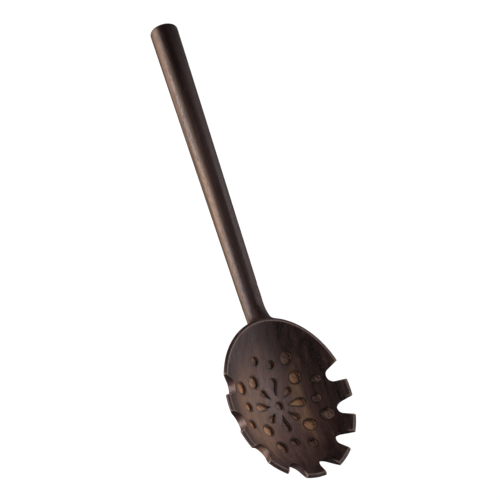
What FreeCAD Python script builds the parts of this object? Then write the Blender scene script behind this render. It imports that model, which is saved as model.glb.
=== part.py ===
import FreeCAD
import Part
import math
import os
from FreeCAD import Vector

# Sizes in millimetres, angles in degrees
# The rim lies in one level plane, the handle runs towards -X and the tip of the bowl points to +X

# Bowl
rim_half_length = 47.6       # inner edge of the rim, along the handle
rim_half_width = 39.8        # inner edge of the rim, across the handle
hollow_depth = 15.8          # from the rim down to the middle of the hollow
floor_thickness = 4.2        # wood under the middle of the hollow
rim_flat = 0.9               # width of the flat band on top of the rim
rim_rounding = 1.1           # radius of the outer edge of the rim
back_slope = 52.5            # slope of the outer wall just under the rim
back_wall = 14.0             # length over which the wall keeps near that slope
back_bottom = 27.0           # radius over which the bottom stays near level

# Handle
handle_length = 209.7        # from the outer edge of the rim to the end of the handle
neck_radius = 6.4            # of the plain tapered bar where it meets the rim
end_radius = 9.1             # of the handle at its far end
neck_axis_drop = 9.9         # middle of the plain bar below the rim, where it meets the rim
handle_root = 24.0           # from the middle of the bowl to the handle's start, inside the wall
end_rounding = 2.4           # radius of the edge round the end of the handle

# Swell by which the handle grows and rises into the bowl
swell_length = 13.0          # along the handle
swell_to_rim = 0.4           # from the end of the swell to the outer edge of the rim
swell_growth = 0.8           # added to the radius of the bar
swell_rise = 1.75            # lift of the middle of the bar
section_spacing = 6.5        # between the circles that guide the surface of the neck
neck_blend = 11.0            # radius of the hollow corner between handle and bowl

# Notches that leave the teeth, sawn through the wall in mirrored pairs
notch_places = (75.75, 102.45, 130.4, 162.9)   # angles round the rim ellipse, from the handle
notch_leans = (30.0, 30.0, 12.0, 0.0)          # of each pair from upright, outwards on the way down
notch_depth = 7.5            # from the inner edge of the rim, measured level, at the hollow's surface
notch_radius = 4.6           # round bottom of the notch
notch_flare = 15.0           # each side opens outwards by this angle

# Carved flower and dots in the hollow
carving_depth = 1.6
carving_stretch = 1.04       # the pattern is this much longer along the handle than across
middle_dot_radius = 2.5
large_dot_radius = 3.5
small_dot_radius = 2.5
inner_ring = 20.4            # large dots on the diagonals
middle_ring = 23.4           # small dots in line with the long petals
outer_ring = 28.0            # large and small dots by turns
outer_ring_offset = 22.5     # of each outer dot from the nearest long petal
long_petal = (5.8, 16.7, 4.9)     # start, end and width
short_petal = (6.0, 13.8, 3.8)    # start, end and width

quarter = 90.0
margin = 6.0                 # by which a cutting tool stands out beyond what it cuts

# Sizes that follow from those above
bowl_height = hollow_depth + floor_thickness
outer_half_length = rim_half_length + rim_flat + rim_rounding
outer_half_width = rim_half_width + rim_flat + rim_rounding
handle_end_x = -(outer_half_length + handle_length)
end_axis_drop = bowl_height - end_radius
swell_end = -(outer_half_length + swell_to_rim)
swell_start = swell_end - swell_length


def turned_profile(edges, half_length, half_width):
    """Turns a closed profile round the Z axis and draws the result out along X to an ellipse."""
    solid = Part.Face(Part.Wire(edges)).revolve(Vector(0, 0, 0), Vector(0, 0, 1), 360)
    stretch = FreeCAD.Matrix()
    stretch.scale(half_length / half_width, 1, 1)
    return solid.transformGeometry(stretch)


def smooth_curve(poles):
    """Curve pulled towards its middle poles, each given as distance from the axis and height."""
    curve = Part.BezierCurve()
    curve.setPoles([Vector(distance, 0, height) for distance, height in poles])
    return curve.toShape()


def bowl_blank():
    """Solid bowl with its curved back and rounded rim."""
    slope = math.radians(back_slope)
    flat_edge = rim_half_width + rim_flat
    join = (flat_edge + rim_rounding * math.sin(slope), -rim_rounding * (1 + math.cos(slope)))
    back = smooth_curve([
        (0, -bowl_height),
        (back_bottom, -bowl_height),
        (join[0] - back_wall * math.cos(slope), join[1] - back_wall * math.sin(slope)),
        join,
    ])
    half_way = (math.radians(180) - slope) / 2
    rounding = Part.Arc(
        Vector(join[0], 0, join[1]),
        Vector(flat_edge + rim_rounding * math.sin(half_way), 0, -rim_rounding * (1 - math.cos(half_way))),
        Vector(flat_edge, 0, 0),
    ).toShape()
    top = Part.makeLine(Vector(flat_edge, 0, 0), Vector(0, 0, 0))
    axis = Part.makeLine(Vector(0, 0, 0), Vector(0, 0, -bowl_height))
    return turned_profile([back, rounding, top, axis], outer_half_length, outer_half_width)


def hollow():
    """Tool in the shape of the hollow, a bowl with a parabola for its section, carried on above the rim."""
    top_radius = rim_half_width * math.sqrt(1 + margin / hollow_depth)
    inside = smooth_curve([(0, -hollow_depth), (top_radius / 2, -hollow_depth), (top_radius, margin)])
    top = Part.makeLine(Vector(top_radius, 0, margin), Vector(0, 0, margin))
    axis = Part.makeLine(Vector(0, 0, margin), Vector(0, 0, -hollow_depth))
    return turned_profile([inside, top, axis], rim_half_length, rim_half_width)


def bar_radius(x):
    """Radius of the plain tapered bar at x."""
    share = (x + outer_half_length) / (handle_end_x + outer_half_length)
    return neck_radius + (end_radius - neck_radius) * share


def neck_section(x):
    """Circle round the bar at x, which grows and rises over the swell, first slowly and then faster."""
    share = min(1.0, max(0.0, (x - swell_start) / swell_length))
    middle = Vector(x, 0, swell_rise * share ** 2)
    return Part.Wire(Part.makeCircle(bar_radius(x) + swell_growth * share ** 2, middle, Vector(1, 0, 0)))


def neck():
    """Surface drawn through circles, from the plain bar through the swell to the root inside the wall."""
    first = swell_start - swell_length
    last = -handle_root
    count = round((last - first) / section_spacing)
    step = (last - first) / count
    return Part.makeLoft([neck_section(first + step * number) for number in range(count + 1)], True)


def handle():
    """Round bar that thickens towards its rounded end, which lies as low as the bottom of the bowl."""
    length = swell_start - swell_length - handle_end_x
    end = Vector(handle_end_x, 0, 0)
    bar = Part.makeCone(end_radius, bar_radius(end.x + length), length, end, Vector(1, 0, 0))
    end_edges = [edge for edge in bar.Edges if edge.BoundBox.XMax < handle_end_x + end_radius]
    whole = bar.makeFillet(end_rounding, end_edges).fuse(neck())
    tilt = math.asin((end_axis_drop - neck_axis_drop) / handle_length)
    whole.rotate(Vector(-outer_half_length, 0, 0), Vector(0, 1, 0), -math.degrees(tilt))
    whole.translate(Vector(0, 0, -neck_axis_drop))
    return whole


def blended(bowl, bar):
    """Joins bowl and handle and rounds the corner that runs round the neck."""
    joined = bowl.fuse(bar)
    corner = []
    for edge in joined.Edges:
        box = edge.BoundBox
        near_bowl = box.XMin > -outer_half_length and box.XMax < -handle_root
        if near_bowl and box.ZMax < -rim_rounding and box.YLength > neck_radius:
            corner.append(edge)
    return joined.makeFillet(neck_blend, corner)


def notch(place, lean, side):
    """Tool for one notch: a round bottom and two sides that open outwards, cut through the wall."""
    flare = math.radians(notch_flare)
    reach = notch_depth + rim_flat + rim_rounding + margin
    across = notch_radius * math.cos(flare)
    back = notch_radius * (1 - math.sin(flare))
    mouth = across + (reach - back) * math.tan(flare)
    low_corner = Vector(back, -across, 0)
    high_corner = Vector(back, across, 0)
    low_mouth = Vector(reach, -mouth, 0)
    high_mouth = Vector(reach, mouth, 0)
    outline = Part.Wire([
        Part.Arc(high_corner, Vector(0, 0, 0), low_corner).toShape(),
        Part.makeLine(low_corner, low_mouth),
        Part.makeLine(low_mouth, high_mouth),
        Part.makeLine(high_mouth, high_corner),
    ])
    tool = Part.Face(outline).extrude(Vector(0, 0, 2 * bowl_height))
    tool.translate(Vector(0, 0, -bowl_height))
    tool.rotate(Vector(0, 0, 0), Vector(0, 1, 0), -lean)

    angle = math.radians(place)
    rim_point = Vector(-rim_half_length * math.cos(angle), rim_half_width * math.sin(angle), 0)
    outwards = Vector(rim_point.x / rim_half_length ** 2, rim_point.y / rim_half_width ** 2, 0).normalize()
    floor_drop = hollow_depth * (1 - (1 - notch_depth / rim_half_width) ** 2)
    tool.rotate(Vector(0, 0, 0), Vector(0, 0, 1), math.degrees(math.atan2(outwards.y, outwards.x)))
    tool.translate(rim_point - outwards * notch_depth - Vector(0, 0, floor_drop))
    if side < 0:
        tool = tool.mirror(Vector(0, 0, 0), Vector(0, 1, 0))
    return tool


def dot(radius, ring, angle):
    """Round prism of the carving, at an angle round the flower."""
    turn = math.radians(angle)
    middle = Vector(-ring * math.cos(turn) * carving_stretch, ring * math.sin(turn), -bowl_height)
    return Part.makeCylinder(radius, bowl_height, middle)


def petal(sizes, angle):
    """Drop-shaped prism of the carving, pointed towards the middle of the flower."""
    start, end, width = sizes
    radius = width / 2
    round_middle = end - radius
    lean = math.asin(radius / (round_middle - start))
    touch_x = round_middle - radius * math.sin(lean)
    touch_y = radius * math.cos(lean)
    tip = Vector(start, 0, 0)
    high = Vector(touch_x, touch_y, 0)
    low = Vector(touch_x, -touch_y, 0)
    outline = Part.Wire([
        Part.makeLine(tip, low),
        Part.Arc(low, Vector(end, 0, 0), high).toShape(),
        Part.makeLine(high, tip),
    ])
    prism = Part.Face(outline).extrude(Vector(0, 0, bowl_height))
    prism.rotate(Vector(0, 0, 0), Vector(0, 0, 1), 180 - angle)
    prism.translate(Vector(0, 0, -bowl_height))
    return prism


def carving():
    """All the hollows of the pattern, each with a floor that follows the hollow of the bowl."""
    prisms = [dot(middle_dot_radius, 0, 0)]
    for turn in range(4):
        straight = quarter * turn
        diagonal = straight + quarter / 2
        prisms.append(petal(long_petal, straight))
        prisms.append(petal(short_petal, diagonal))
        prisms.append(dot(small_dot_radius, middle_ring, straight))
        prisms.append(dot(large_dot_radius, inner_ring, diagonal))
        prisms.append(dot(large_dot_radius, outer_ring, straight + outer_ring_offset))
        prisms.append(dot(small_dot_radius, outer_ring, straight - outer_ring_offset))
    floors = hollow()
    floors.translate(Vector(0, 0, -carving_depth))
    return [prism.common(floors) for prism in prisms]


body = blended(bowl_blank(), handle())
body = body.cut(hollow())
notches = [notch(place, lean, side) for place, lean in zip(notch_places, notch_leans) for side in (1, -1)]
body = body.cut(notches)
body = body.cut(carving())
server = body.Solids[0]
server.translate(Vector(-(outer_half_length + handle_end_x) / 2, 0, bowl_height))

os.makedirs("parts", exist_ok=True)
server.exportStep("parts/spaghetti_server.step")
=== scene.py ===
import math

import bpy
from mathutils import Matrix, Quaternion, Vector

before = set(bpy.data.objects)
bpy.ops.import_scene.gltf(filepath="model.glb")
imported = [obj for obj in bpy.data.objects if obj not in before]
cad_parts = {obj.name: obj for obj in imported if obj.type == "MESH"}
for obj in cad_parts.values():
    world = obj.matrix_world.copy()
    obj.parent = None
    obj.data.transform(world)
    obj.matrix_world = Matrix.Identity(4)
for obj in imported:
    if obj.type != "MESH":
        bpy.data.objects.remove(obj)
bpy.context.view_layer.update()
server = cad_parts["spaghetti_server"]
print("frame loaded:", len(server.data.polygons), "faces")


# Camera; places in metres, angle in degrees, lens and sensor in millimetres
cameraSettings = {
    "place": (0.33748, -0.46504, 0.71047),
    "aim": (0.0015, 0.01733, 0.0),
    "roll": 43.729,
    "lens": 108.0,
    "sensor": 36.0,
    "nearest": 0.01,
}


def addCamera(settings):
    data = bpy.data.cameras.new("camera")
    data.sensor_width = settings["sensor"]
    data.lens = settings["lens"]
    data.clip_start = settings["nearest"]
    camera = bpy.data.objects.new("camera", data)
    bpy.context.scene.collection.objects.link(camera)
    camera.location = settings["place"]
    look = Vector(settings["aim"]) - Vector(settings["place"])
    turn = Quaternion((0, 0, 1), math.radians(settings["roll"]))
    camera.rotation_mode = "QUATERNION"
    camera.rotation_quaternion = look.to_track_quat("-Z", "Y") @ turn
    bpy.context.scene.camera = camera


plainWhite = (1.0, 1.0, 1.0)

# Lights, in metres and watts; each one faces the origin and lights only what it names
lightSettings = {
    "floor key": {
        "lights": "floor", "power": 15.0, "colour": plainWhite,
        "place": (0.0, -1.2, 1.3), "size": (1.6, 1.0),
    },
    "floor top": {
        "lights": "floor", "power": 152.0, "colour": plainWhite,
        "place": (0.0, 0.6, 3.0), "size": (5.0, 5.0),
    },
    # below the floor, for the bright band low on the near side of the handle
    "under box": {
        "lights": "server", "power": 12.0, "colour": plainWhite,
        "place": (-0.15, -0.94, -0.24), "size": (1.2, 0.5),
    },
    "side box": {
        "lights": "server", "power": 6.0, "colour": (1.0, 0.93, 0.92),
        "place": (0.03, 0.89, 0.46), "size": (1.2, 1.0),
    },
    "high box": {
        "lights": "server", "power": 2.6, "colour": (1.0, 0.94, 0.92),
        "place": (-0.05, 0.55, 0.85), "size": (0.8, 0.6),
    },
    "low box": {
        "lights": "server", "power": 5.0, "colour": plainWhite,
        "place": (-0.09, -0.97, 0.16), "size": (0.8, 0.3),
    },
}
worldSettings = {
    "seen": plainWhite,
    "ambient": (0.05, 0.05, 0.05),      # the light it gives
}
floorSettings = {
    "halfSize": 1.4,
    "seen": (0.9, 0.9, 0.9),
    "mirrored": (0.12, 0.12, 0.12),     # darker in the wood, as with dark cards beside it
    "roughness": 0.8,
}


def addReceivers(name, objects):
    collection = bpy.data.collections.new(name)
    for obj in objects:
        collection.objects.link(obj)
    return collection


def addLight(name, settings, receivers):
    data = bpy.data.lights.new(name, "AREA")
    data.shape = "RECTANGLE"
    data.size, data.size_y = settings["size"]
    data.energy = settings["power"]
    data.color = settings["colour"]
    light = bpy.data.objects.new(name, data)
    bpy.context.scene.collection.objects.link(light)
    light.location = settings["place"]
    light.rotation_mode = "QUATERNION"
    light.rotation_quaternion = (-Vector(settings["place"])).to_track_quat("-Z", "Y")
    light.light_linking.receiver_collection = receivers[settings["lights"]]
    light.light_linking.blocker_collection = receivers[settings["lights"]]


def seenOrMirrored(tree, seen, mirrored, socket):
    # one colour for the camera and another for the light that reaches the server
    rays = tree.nodes.new("ShaderNodeLightPath")
    mix = tree.nodes.new("ShaderNodeMix")
    mix.data_type = "RGBA"
    mix.inputs["A"].default_value = (*mirrored, 1)
    mix.inputs["B"].default_value = (*seen, 1)
    tree.links.new(rays.outputs["Is Camera Ray"], mix.inputs["Factor"])
    tree.links.new(mix.outputs["Result"], socket)


def addWorld(settings):
    world = bpy.data.worlds.new("studio")
    world.use_nodes = True
    background = world.node_tree.nodes["Background"]
    seenOrMirrored(world.node_tree, settings["seen"], settings["ambient"], background.inputs["Color"])
    bpy.context.scene.world = world


def addFloor(settings):
    half = settings["halfSize"]
    mesh = bpy.data.meshes.new("floor")
    corners = [(-half, -half, 0), (half, -half, 0), (half, half, 0), (-half, half, 0)]
    mesh.from_pydata(corners, [], [(0, 1, 2, 3)])
    floor = bpy.data.objects.new("floor", mesh)
    bpy.context.scene.collection.objects.link(floor)
    material = bpy.data.materials.new("floor")
    material.use_nodes = True
    shader = material.node_tree.nodes["Principled BSDF"]
    seenOrMirrored(material.node_tree, settings["seen"], settings["mirrored"], shader.inputs["Base Color"])
    shader.inputs["Roughness"].default_value = settings["roughness"]
    mesh.materials.append(material)
    return floor


addCamera(cameraSettings)
floor = addFloor(floorSettings)
receivers = {"floor": addReceivers("lit floor", [floor]), "server": addReceivers("lit server", [server])}
for lightName, settings in lightSettings.items():
    addLight(lightName, settings, receivers)
addWorld(worldSettings)
bpy.context.scene.view_settings.view_transform = "Standard"
print("camera, floor and", len(lightSettings), "lights")


# Dark oiled hardwood with its grain along X; lengths in metres, colours linear
woodSettings = {
    # noises of the wood, with their waves per metre along and across the grain
    "grain": {"waves": (9, 260, 260), "detail": 5.0, "roughness": 0.6},
    "fibre": {"waves": (30, 1500, 1500), "detail": 3.0, "roughness": 0.6},
    "patches": {"waves": (6, 34, 34), "detail": 2.0, "roughness": 0.55},
    "pores": {"waves": (260, 2600, 2600), "detail": 1.0, "roughness": 0.55},
    "wave": 0.004,                          # how far the grain wanders sideways
    "toneShares": {"grain": 0.6, "fibre": 0.15, "patches": 0.25},

    # oiled wood, and the tones between which one colour turns into the next
    "dark": (0.007, 0.0027, 0.0024),
    "middle": (0.026, 0.0108, 0.0092),
    "light": (0.125, 0.058, 0.036),
    "darkToMiddle": (0.40, 0.54),
    "middleToLight": (0.54, 0.70),
    "specularTint": (1.0, 0.85, 0.84),

    # lighter wood in the hollow than on the handle: partly its own tone and partly painted light, lighter
    # over the lit middle and left of the bowl than on its shaded right wall
    "hollowDark": (0.088, 0.042, 0.036),
    "hollowLight": (0.172, 0.084, 0.067),
    "hollowTones": (0.36, 0.66),
    "hollowToneAndLightSpot": {"middle": (0.112, -0.010, 0.006), "half": (0.058, 0.048, 0.022)},

    # golden streaks
    "golden": (0.31, 0.178, 0.100),
    "goldenGrain": (0.18, 0.70),            # grain between which a streak comes through
    "streaks": [
        {"middle": (0.106, 0.0150, 0.006), "half": (0.034, 0.0070, 0.02), "strength": 0.90},
        {"middle": (0.112, -0.0195, 0.008), "half": (0.042, 0.0160, 0.02), "strength": 1.0},
        {"middle": (-0.055, -0.0080, 0.0130), "half": (0.180, 0.0085, 0.0065), "strength": 0.80},
    ],

    # pores, whose colour is also that of the painted shade in the corners
    "poreAndShadeColour": (0.004, 0.002, 0.002),
    "poreNoise": (0.58, 0.68),              # noise between which a pore opens
    "poreStrength": 0.6,

    # pale edges of the rim: partly wear and partly a painted highlight along its rounded edge
    "wearAndHighlightColour": (0.42, 0.28, 0.23),
    "paleEdgeWidth": 0.0014,
    "paleEdgeTurn": (0.955, 0.999),             # cosines between which the rounded edge leaves the surface
    "paleEdgeHeights": (0.0175, 0.0195),        # heights between which the pale edge begins
    "paleEdgePatches": (0.30, 0.60),            # it is weaker in some patches of the wood
    "paleEdgeStrength": (0.4, 0.9),
    "paleEdgeSamples": 8,

    # painted shade in the corners, darker where other faces are near
    "cornerReach": 0.0015,
    "cornerOpenness": (0.3, 0.8),
    "cornerStrength": 0.5,
    "cornerSamples": 8,

    # gloss of the dark and of the light lines, and of the matt end of the grain
    "roughness": (0.30, 0.58),
    "roughTones": (0.40, 0.62),
    "endRoughness": 0.88,
    "endFacing": (0.6, 0.95),               # how squarely a face looks along the grain

    # relief
    "grainHeight": 0.00010,
    "poreDepth": 0.4,                       # as a share of the grain's height
    "endRelief": 0.1,                       # the share of the relief that is left on the end of the grain
    "softEdges": (0.0002, 0.0016),          # radius of the edges, of the carving and of the rim
    "softFrom": (0.7, 0.85),                # shares of the rim's ellipse between which it grows
    "softSamples": 6,
}

# The carved flower and dots, whose cut faces are rawer than the oiled wood round them
carvingSettings = {
    # hollow that the depths are measured from
    "hollowMiddle": (0.10485, 0.0),
    "hollowHalf": (0.0476, 0.0398),         # inner edge of the rim, along and across
    "rimHeight": 0.020,
    "hollowDepth": 0.0158,
    "reach": 0.64,                          # share of the rim's ellipse that holds the carving
    "reachBlend": 0.04,
    "deepest": 0.0022,                      # what lies deeper is the back of the bowl

    # depths between which the cut wall begins, its dark line ends and the cut floor begins
    "wallDepths": (0.00005, 0.00015),
    "lineDepths": (0.00045, 0.00065),
    "floorDepths": (0.00125, 0.00150),

    # walls, with painted light that makes them paler, where they lie in shade, in the middle of the bowl
    # and on the camera's side
    "wallColour": (0.22, 0.14, 0.11),
    "paintedLightWall": (0.95, 0.60, 0.40),
    "paintedLightWallSpot": {"middle": (0.102, -0.016, 0.008), "half": (0.060, 0.052, 0.030)},

    # floors
    "dark": (0.075, 0.038, 0.032),
    "light": (0.50, 0.31, 0.23),
    "golden": (0.62, 0.33, 0.16),           # where the wood has a golden streak
    "goldenFrom": (0.0, 0.3),
    "rawTones": (0.34, 0.92),
    "rawStreaks": 0.30,                     # by which a golden streak makes a floor lighter
    "roughness": 0.62,

    # dark line round each pocket
    "lineColour": (0.008, 0.004, 0.003),
    "lineReach": 0.0016,
    "lineOpenness": (0.76, 0.92),
    "lineStrength": 0.95,
    "lineSamples": 12,

    # scratches of the tool: size of one, angle to the grain and height
    "markSize": (0.0030, 0.0005, 0.0030),
    "markAngle": 38.0,
    "markNoise": {"detail": 3.0, "roughness": 0.55},
    "markHeight": 0.00012,
}


def setSocket(tree, socket, value):
    # a value is either another node's output or a plain number or colour
    if isinstance(value, bpy.types.NodeSocket):
        tree.links.new(value, socket)
    else:
        socket.default_value = value


def reckon(tree, operation, *values):
    node = tree.nodes.new("ShaderNodeMath")
    node.operation = operation
    for socket, value in zip(node.inputs, values):
        setSocket(tree, socket, value)
    return node.outputs["Value"]


def reckonVector(tree, operation, *values):
    node = tree.nodes.new("ShaderNodeVectorMath")
    node.operation = operation
    for socket, value in zip(node.inputs, values):
        setSocket(tree, socket, value)
    return node.outputs


def fade(tree, value, limits, ends=(0.0, 1.0)):
    # goes smoothly from the first end at the lower limit to the second at the higher
    node = tree.nodes.new("ShaderNodeMapRange")
    node.interpolation_type = "SMOOTHSTEP"
    setSocket(tree, node.inputs["Value"], value)
    for name, number in zip(("From Min", "From Max", "To Min", "To Max"), (*limits, *ends)):
        node.inputs[name].default_value = number
    return node.outputs["Result"]


def blend(tree, share, first, second):
    # the first colour where the share is 0, the second where it is 1
    node = tree.nodes.new("ShaderNodeMix")
    node.data_type = "RGBA"
    setSocket(tree, node.inputs["Factor"], share)
    for socket, colour in ((node.inputs["A"], first), (node.inputs["B"], second)):
        setSocket(tree, socket, (*colour, 1) if isinstance(colour, tuple) else colour)
    return node.outputs["Result"]


def noiseAt(tree, place, settings):
    node = tree.nodes.new("ShaderNodeTexNoise")
    node.inputs["Scale"].default_value = 1.0
    node.inputs["Detail"].default_value = settings["detail"]
    node.inputs["Roughness"].default_value = settings["roughness"]
    tree.links.new(place, node.inputs["Vector"])
    return node.outputs


def stretchedNoise(tree, place, settings):
    stretch = tree.nodes.new("ShaderNodeMapping")
    stretch.inputs["Scale"].default_value = settings["waves"]
    tree.links.new(place, stretch.inputs["Vector"])
    return noiseAt(tree, stretch.outputs["Vector"], settings)


def wavyPlace(tree, place, settings):
    # the place moved sideways by a slow noise, so that the grain lines wander
    wander = stretchedNoise(tree, place, settings["patches"])["Color"]
    sideways = (0, settings["wave"], settings["wave"])
    return reckonVector(tree, "MULTIPLY_ADD", wander, sideways, place)["Vector"]


spotCore = 0.3      # share of a spot's half size at which it begins to fade


def spot(tree, place, settings):
    # 1 in the middle of an ellipsoid, fading to 0 at its surface
    node = tree.nodes.new("ShaderNodeMapping")
    middle, half = settings["middle"], settings["half"]
    node.inputs["Scale"].default_value = [1 / size for size in half]
    node.inputs["Location"].default_value = [-centre / size for centre, size in zip(middle, half)]
    tree.links.new(place, node.inputs["Vector"])
    away = reckonVector(tree, "LENGTH", node.outputs["Vector"])["Value"]
    return fade(tree, away, (spotCore, 1.0), (1.0, 0.0))


def openness(tree, reach, samples, inside=False):
    # 1 on an open face, less where another face is near, outside the wood or through it
    node = tree.nodes.new("ShaderNodeAmbientOcclusion")
    node.inside = inside
    node.samples = samples
    node.inputs["Distance"].default_value = reach
    return node.outputs["AO"]


def roundedNormal(tree, radius, samples):
    # where the surface would face if its edges had this radius
    node = tree.nodes.new("ShaderNodeBevel")
    node.samples = samples
    setSocket(tree, node.inputs["Radius"], radius)
    return node.outputs["Normal"]


def carvingMasks(tree, place, settings):
    # the rim's share is x*x/a*a + y*y/b*b: 0 in the middle of the hollow and 1 at the rim
    # depth below the hollow = rim height - hollow depth * (1 - share) - z
    split = tree.nodes.new("ShaderNodeSeparateXYZ")
    tree.links.new(place, split.inputs["Vector"])
    squares = []
    for axis, middle, half in zip("XY", settings["hollowMiddle"], settings["hollowHalf"]):
        away = reckon(tree, "SUBTRACT", split.outputs[axis], middle)
        squares.append(reckon(tree, "POWER", reckon(tree, "DIVIDE", away, half), 2.0))
    rimShare = reckon(tree, "ADD", *squares)
    lowest = settings["rimHeight"] - settings["hollowDepth"]
    hollow = reckon(tree, "MULTIPLY_ADD", rimShare, settings["hollowDepth"], lowest)
    depth = reckon(tree, "SUBTRACT", hollow, split.outputs["Z"])
    within = reckon(tree, "LESS_THAN", rimShare, settings["reach"])
    within = reckon(tree, "MULTIPLY", within, reckon(tree, "LESS_THAN", depth, settings["deepest"]))
    return {
        "rimShare": rimShare,
        "depth": depth,
        "height": split.outputs["Z"],
        "wall": reckon(tree, "MULTIPLY", fade(tree, depth, settings["wallDepths"]), within),
        "floor": reckon(tree, "MULTIPLY", fade(tree, depth, settings["floorDepths"]), within),
    }


def oiledColour(tree, place, noises, tone, streaked, settings):
    # dark, middle and light lines, the lighter hollow (partly painted light), the golden streaks and then
    # the pores
    colour = blend(tree, fade(tree, tone, settings["darkToMiddle"]), settings["dark"], settings["middle"])
    colour = blend(tree, fade(tree, tone, settings["middleToLight"]), colour, settings["light"])
    lighterHollowShare = fade(tree, tone, settings["hollowTones"])
    lighterHollow = blend(tree, lighterHollowShare, settings["hollowDark"], settings["hollowLight"])
    # the hollow's spot is partly painted light: lighter over the lit middle and left, with the shaded
    # right wall left darker
    colour = blend(tree, spot(tree, place, settings["hollowToneAndLightSpot"]), colour, lighterHollow)
    goldenGrain = fade(tree, noises["grain"], settings["goldenGrain"])
    colour = blend(tree, reckon(tree, "MULTIPLY", streaked, goldenGrain), colour, settings["golden"])
    poreShare = reckon(tree, "MULTIPLY", noises["pores"], settings["poreStrength"])
    return blend(tree, poreShare, colour, settings["poreAndShadeColour"])


def streakShare(tree, wavy, streaks):
    # the strongest of the streaks at each place
    strongest = 0.0
    for streak in streaks:
        share = reckon(tree, "MULTIPLY", spot(tree, wavy, streak), streak["strength"])
        strongest = reckon(tree, "MAXIMUM", share, strongest)
    return strongest


def toolMarks(tree, place, settings):
    # long thin scratches, all at one angle
    node = tree.nodes.new("ShaderNodeMapping")
    node.vector_type = "TEXTURE"
    node.inputs["Rotation"].default_value = (0, 0, math.radians(settings["markAngle"]))
    node.inputs["Scale"].default_value = settings["markSize"]
    tree.links.new(place, node.inputs["Vector"])
    return noiseAt(tree, node.outputs["Vector"], settings["markNoise"])["Fac"]


def carvedColour(tree, place, oiled, masks, marks, streaked, settings):
    # cut walls, with a dark line at their top, and cut floors over the oiled wood
    rawTone = reckon(tree, "ADD", marks, reckon(tree, "MULTIPLY", streaked, settings["rawStreaks"]))
    goldenShare = fade(tree, streaked, settings["goldenFrom"])
    rawLight = blend(tree, goldenShare, settings["light"], settings["golden"])
    rawFloor = blend(tree, fade(tree, rawTone, settings["rawTones"]), settings["dark"], rawLight)
    # painted light: walls that lie in shade are made paler in a spot over the middle of the bowl
    paintedLightWallSpot = spot(tree, place, settings["paintedLightWallSpot"])
    rawWall = blend(tree, paintedLightWallSpot, settings["wallColour"], settings["paintedLightWall"])
    belowLine = fade(tree, masks["depth"], settings["lineDepths"])
    rawWall = blend(tree, belowLine, settings["lineColour"], rawWall)
    colour = blend(tree, masks["wall"], oiled, rawWall)
    return blend(tree, masks["floor"], colour, rawFloor)


def outlineShare(tree, masks, settings):
    # beside the edge of a pocket the wood is thin, which draws a dark line round it, outside its walls
    limits = (settings["reach"], settings["reach"] + settings["reachBlend"])
    carved = fade(tree, masks["rimShare"], limits, (1.0, 0.0))
    thin = openness(tree, settings["lineReach"], settings["lineSamples"], inside=True)
    outline = fade(tree, thin, settings["lineOpenness"], (settings["lineStrength"], 0.0))
    outline = reckon(tree, "MULTIPLY", outline, carved)
    return reckon(tree, "MULTIPLY", outline, reckon(tree, "SUBTRACT", 1.0, masks["wall"]))


def wearAndHighlightShare(tree, normal, height, patches, settings):
    # near an edge the rounded normal leaves the surface's own, and only the rim is high enough for the
    # pale edge, partly wear and partly a painted highlight
    rounded = roundedNormal(tree, settings["paleEdgeWidth"], settings["paleEdgeSamples"])
    alike = reckonVector(tree, "DOT_PRODUCT", rounded, normal)["Value"]
    wearAndHighlight = fade(tree, alike, settings["paleEdgeTurn"], (1.0, 0.0))
    wearAndHighlight = reckon(tree, "MULTIPLY", wearAndHighlight, fade(tree, height, settings["paleEdgeHeights"]))
    patchy = fade(tree, patches, settings["paleEdgePatches"], settings["paleEdgeStrength"])
    return reckon(tree, "MULTIPLY", wearAndHighlight, patchy)


def woodRoughness(tree, tone, floorMask, endGrain, settings, carving):
    # rises with the tone, and then to that of the cut floors and of the end of the grain
    low, high = settings["roughness"]
    lines = reckon(tree, "MULTIPLY_ADD", fade(tree, tone, settings["roughTones"]), high - low, low)
    raised = reckon(tree, "MULTIPLY", floorMask, carving["roughness"] - high)
    raised = reckon(tree, "MULTIPLY_ADD", endGrain, settings["endRoughness"] - high, raised)
    return reckon(tree, "ADD", lines, raised)


def woodRelief(tree, noises, tone, masks, marks, endGrain, settings, carving):
    # soft edges first, and on them the relief of the grain, the pores and the tool marks
    radius = fade(tree, masks["rimShare"], settings["softFrom"], settings["softEdges"])
    soft = roundedNormal(tree, radius, settings["softSamples"])
    pits = reckon(tree, "MULTIPLY", noises["pores"], settings["poreDepth"])
    relief = reckon(tree, "MULTIPLY", reckon(tree, "SUBTRACT", tone, pits), settings["grainHeight"])
    reliefLeft = reckon(tree, "MULTIPLY_ADD", endGrain, settings["endRelief"] - 1.0, 1.0)
    relief = reckon(tree, "MULTIPLY", relief, reliefLeft)
    cuts = reckon(tree, "MULTIPLY", reckon(tree, "MULTIPLY", marks, masks["floor"]), carving["markHeight"])
    bump = tree.nodes.new("ShaderNodeBump")
    bump.inputs["Distance"].default_value = 1.0
    tree.links.new(reckon(tree, "ADD", relief, cuts), bump.inputs["Height"])
    tree.links.new(soft, bump.inputs["Normal"])
    return bump.outputs["Normal"]


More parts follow.
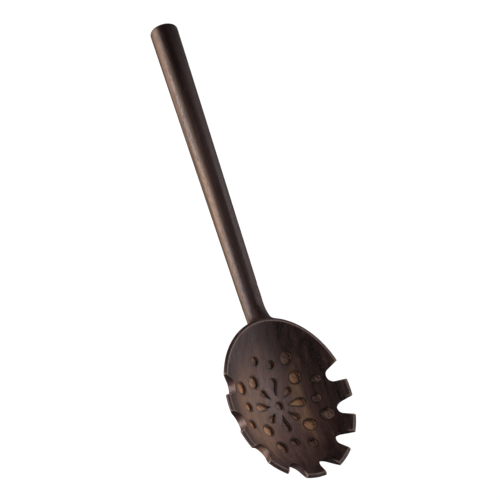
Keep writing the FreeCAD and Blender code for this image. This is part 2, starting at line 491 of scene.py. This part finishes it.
def darkWood(settings, carving):
    material = bpy.data.materials.new("dark wood")
    material.use_nodes = True
    tree = material.node_tree
    shader = tree.nodes["Principled BSDF"]
    place = tree.nodes.new("ShaderNodeTexCoord").outputs["Object"]
    normal = tree.nodes.new("ShaderNodeNewGeometry").outputs["Normal"]
    wavy = wavyPlace(tree, place, settings)
    noises = {
        "grain": stretchedNoise(tree, wavy, settings["grain"])["Fac"],
        "fibre": stretchedNoise(tree, wavy, settings["fibre"])["Fac"],
        "patches": stretchedNoise(tree, place, settings["patches"])["Fac"],
        "pores": fade(tree, stretchedNoise(tree, wavy, settings["pores"])["Fac"], settings["poreNoise"]),
    }

    # the tone adds up three of them: low in the dark lines of the wood and high in the light ones
    tone = 0.0
    for name, share in settings["toneShares"].items():
        tone = reckon(tree, "MULTIPLY_ADD", noises[name], share, tone)
    streaked = streakShare(tree, wavy, settings["streaks"])
    masks = carvingMasks(tree, place, carving)
    marks = toolMarks(tree, place, carving)

    colour = oiledColour(tree, place, noises, tone, streaked, settings)
    colour = carvedColour(tree, place, colour, masks, marks, streaked, carving)
    colour = blend(tree, outlineShare(tree, masks, carving), colour, carving["lineColour"])
    # pale rim edges: partly wear and partly a painted highlight
    wearAndHighlight = wearAndHighlightShare(tree, normal, masks["height"], noises["patches"], settings)
    colour = blend(tree, wearAndHighlight, colour, settings["wearAndHighlightColour"])
    # painted shade: the wood is darker in the corners, where other faces are near
    corner = openness(tree, settings["cornerReach"], settings["cornerSamples"])
    cornerShade = fade(tree, corner, settings["cornerOpenness"], (settings["cornerStrength"], 0.0))
    colour = blend(tree, cornerShade, colour, settings["poreAndShadeColour"])
    tree.links.new(colour, shader.inputs["Base Color"])
    shader.inputs["Specular Tint"].default_value = (*settings["specularTint"], 1)

    facing = tree.nodes.new("ShaderNodeSeparateXYZ")
    tree.links.new(normal, facing.inputs["Vector"])
    endGrain = fade(tree, reckon(tree, "ABSOLUTE", facing.outputs["X"]), settings["endFacing"])
    roughness = woodRoughness(tree, tone, masks["floor"], endGrain, settings, carving)
    relief = woodRelief(tree, noises, tone, masks, marks, endGrain, settings, carving)
    tree.links.new(roughness, shader.inputs["Roughness"])
    tree.links.new(relief, shader.inputs["Normal"])
    return material


wood = darkWood(woodSettings, carvingSettings)
server.data.materials.clear()
server.data.materials.append(wood)
print("dark wood:", len(wood.node_tree.nodes), "nodes")
